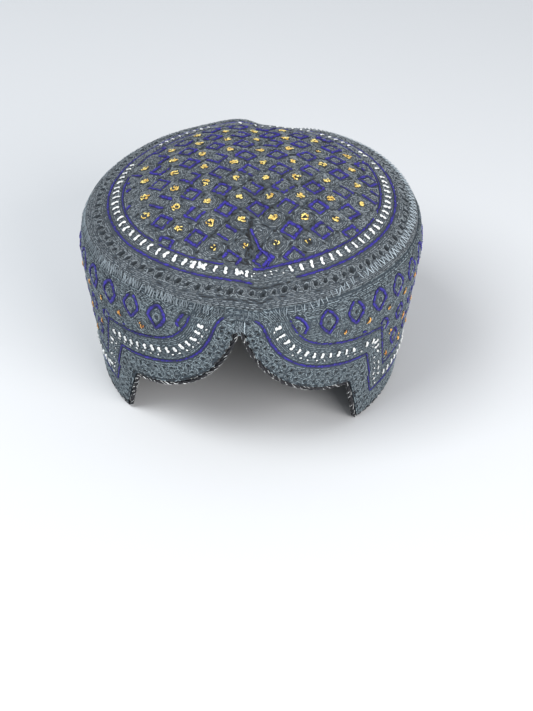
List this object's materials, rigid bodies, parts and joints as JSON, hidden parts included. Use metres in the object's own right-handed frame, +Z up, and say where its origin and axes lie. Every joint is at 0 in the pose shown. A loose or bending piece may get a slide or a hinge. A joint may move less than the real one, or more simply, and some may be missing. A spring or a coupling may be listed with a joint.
{
  "type": "embroidered sindhi cap",
  "caption": "Round cap with a domed quilted crown, an upright embroidered band cut away over the forehead, and a corded edge.",
  "frame": {"origin": "on the surface that the cap stands on, under the middle of its box", "axes": "+Z up out of the crown, -Y out of the forehead, +X to the right of someone who faces the cap's front"},
  "size_m": [0.1849, 0.1974, 0.1196],
  "materials": {
    "crown_cloth": "grey embroidery thread over dark cloth, blue-violet, gold and white motifs",
    "seam_thread": "light grey overcast thread",
    "band_cloth": "grey embroidery thread over dark cloth, blue-violet, orange-gold and white motifs",
    "edge_cord": "twisted black and white thread",
    "blue_thread": "blue-violet silky thread",
    "gold_thread": "gold silky thread",
    "white_thread": "white glossy thread",
    "dark_thread": "black thread in pits and eyelets"
  },
  "bodies": {
    "root": {"crown": "crown_cloth", "rim_seam": "seam_thread", "band": "band_cloth", "edge_cord": "edge_cord"}
  },
  "joints": []
}
